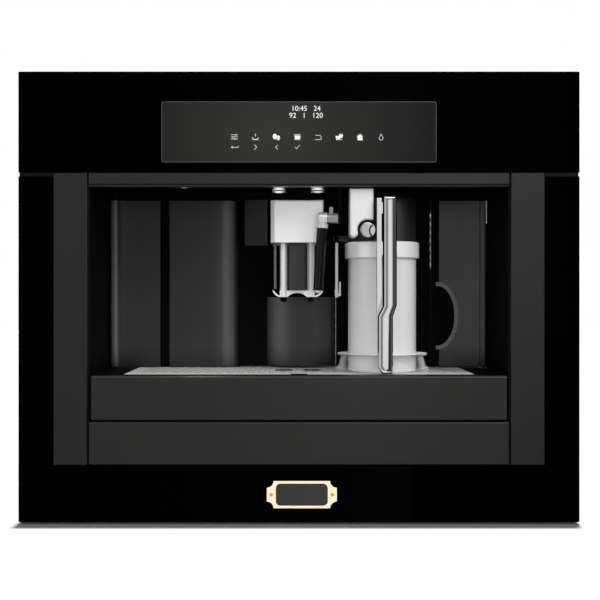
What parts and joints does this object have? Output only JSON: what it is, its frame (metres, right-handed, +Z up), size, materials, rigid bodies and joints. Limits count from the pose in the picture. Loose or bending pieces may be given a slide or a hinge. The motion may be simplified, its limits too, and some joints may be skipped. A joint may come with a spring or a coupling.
{
  "type": "built-in coffee machine",
  "caption": "Built-in coffee machine on pull-out rails, with a black glass front, a lit niche, coffee outlet, hot-water wand, milk jug, drip tray and water tank.",
  "frame": {"origin": "centre of the overall box, at the underside of the fixed mounting plate", "axes": "+Z up, the glass front faces -Y, +X to the right of someone who stands before it"},
  "size_m": [0.595, 0.41, 0.48],
  "materials": {
    "black_glass": "gloss",
    "smoked_display": "gloss",
    "dark_metal": "satin",
    "black_paint": "satin",
    "zinc_steel": "satin",
    "bright_steel": "brushed",
    "chrome": "polished",
    "silver_paint": "satin",
    "black_plastic": "matt",
    "charcoal_plastic": "satin",
    "clear_plastic": "gloss",
    "black_rubber": "matt",
    "brass": "polished",
    "enamel": "gloss",
    "cast_aluminium": "cast",
    "tool_steel": "ground",
    "grey_plastic": "matt",
    "board_green": "matt",
    "float_red": "matt",
    "lamp_lens": "gloss"
  },
  "bodies": {
    "cabinet_base": {"base_plate": "zinc_steel", "rails_outer": "zinc_steel"},
    "rail_middle": {"rails_middle": "zinc_steel"},
    "service_door": {"service_door": "charcoal_plastic"},
    "drip_tray": {"tray_front": "dark_metal", "tray_bin": "black_plastic", "cup_grille": "bright_steel"},
    "overflow_float": {"tray_float": "float_red"},
    "water_tank": {"tank_body": "clear_plastic", "tank_front": "charcoal_plastic", "tank_lid": "black_plastic"},
    "coffee_spout": {"spout_column": "black_plastic", "spout_tubes": "chrome"},
    "water_wand": {"wand_collar": "chrome", "wand_grip": "black_rubber"},
    "milk_jug": {"jug_body": "clear_plastic", "jug_lid": "black_plastic", "jug_front_block": "silver_paint", "jug_handle": "silver_paint"},
    "froth_control": {"froth_knob": "chrome"},
    "milk_spout": {"milk_outlet": "bright_steel"},
    "bean_lid": {"hopper_lid": "black_plastic"},
    "powder_lid": {"chute_lid": "black_plastic"},
    "grind_control": {"grind_dial": "grey_plastic"},
    "piston": {"brew_piston": "black_plastic"},
    "burr_shaft": {"cone_burr": "tool_steel"},
    "switch_rocker": {"main_switch": "black_plastic"},
    "machine": {"rails_inner": "zinc_steel", "chassis": "zinc_steel", "side_panels": "zinc_steel", "back_cover": "zinc_steel", "top_cover": "zinc_steel", "front_frame": "black_paint", "control_glass": "black_glass", "lower_glass": "black_glass", "display_window": "smoked_display", "trim_strips": "dark_metal", "top_bar": "dark_metal", "lower_front_panel": "dark_metal", "badge_plate": "brass", "badge_enamel": "enamel", "niche_lining": "black_plastic", "tray_shelf": "black_plastic", "cup_lights": "lamp_lens", "centre_cover": "charcoal_plastic", "spout_head": "silver_paint", "wand_bracket": "grey_plastic", "milk_dock": "grey_plastic", "brew_unit": "grey_plastic", "gearmotor": "black_plastic", "boiler": "cast_aluminium", "pump": "black_plastic", "grinder_housing": "grey_plastic", "ring_burr": "tool_steel", "bean_hopper": "clear_plastic", "coffee_chute": "black_plastic", "circuit_boards": "board_green", "grounds_container": "black_plastic", "mains_inlet": "black_plastic", "door_hinge_pins": "zinc_steel"}
  },
  "joints": [
    {"name": "machine_slide", "type": "slide", "parent": "cabinet_base", "child": "machine", "axis": [0, -1, 0], "range_m": [0, 0.3]},
    {"name": "rail_slide", "type": "slide", "parent": "cabinet_base", "child": "rail_middle", "axis": [0, -1, 0], "range_m": [0, 0.15]},
    {"name": "door_hinge", "type": "hinge", "parent": "machine", "child": "service_door", "pos_m": [-0.2165, -0.0832, 0.256], "axis": [0, 0, -1], "range_deg": [0, 88]},
    {"name": "tray_slide", "type": "slide", "parent": "machine", "child": "drip_tray", "axis": [0, -1, 0], "range_m": [0, 0.22]},
    {"name": "float_lift", "type": "slide", "parent": "drip_tray", "child": "overflow_float", "axis": [0, 0, 1], "range_m": [0, 0.006]},
    {"name": "tank_slide", "type": "slide", "parent": "machine", "child": "water_tank", "axis": [0, -1, 0], "range_m": [0, 0.215]},
    {"name": "spout_height", "type": "slide", "parent": "machine", "child": "coffee_spout", "axis": [0, 0, 1], "range_m": [0, 0.034]},
    {"name": "wand_swing", "type": "hinge", "parent": "machine", "child": "water_wand", "pos_m": [0.026, -0.1714, 0.327], "axis": [-1, 0, 0], "range_deg": [0, 40]},
    {"name": "jug_slide", "type": "slide", "parent": "machine", "child": "milk_jug", "axis": [0, -1, 0], "range_m": [0, 0.2]},
    {"name": "froth_turn", "type": "hinge", "parent": "milk_jug", "child": "froth_control", "pos_m": [0.0736, -0.1894, 0.313], "axis": [0, -1, 0], "range_deg": [0, 120]},
    {"name": "milk_spout_swing", "type": "hinge", "parent": "milk_jug", "child": "milk_spout", "pos_m": [0.0423, -0.1414, 0.306], "axis": [-1, 0, 0], "range_deg": [0, 60]},
    {"name": "bean_lid_hinge", "type": "hinge", "parent": "machine", "child": "bean_lid", "pos_m": [-0.03, 0.1906, 0.4725], "axis": [-1, 0, 0], "range_deg": [0, 100]},
    {"name": "powder_lid_hinge", "type": "hinge", "parent": "machine", "child": "powder_lid", "pos_m": [-0.105, 0.0276, 0.4725], "axis": [-1, 0, 0], "range_deg": [0, 100]},
    {"name": "grind_turn", "type": "hinge", "parent": "machine", "child": "grind_control", "pos_m": [0.096, 0.1266, 0.47], "axis": [0, 0, 1], "range_deg": [-120, 120]},
    {"name": "piston_stroke", "type": "slide", "parent": "machine", "child": "piston", "axis": [0, 0, 1], "range_m": [0, 0.045]},
    {"name": "burr_spin", "type": "hinge", "parent": "machine", "child": "burr_shaft", "pos_m": [-0.03, 0.1216, 0.35], "axis": [0, 0, 1], "continuous": true},
    {"name": "switch_rock", "type": "hinge", "parent": "machine", "child": "switch_rocker", "pos_m": [0.19, 0.1978, 0.102], "axis": [1, 0, 0], "range_deg": [0, 16]}
  ],
  "couplings": [
    {"joint": "rail_slide", "follows": "machine_slide", "ratio": 0.5}
  ]
}
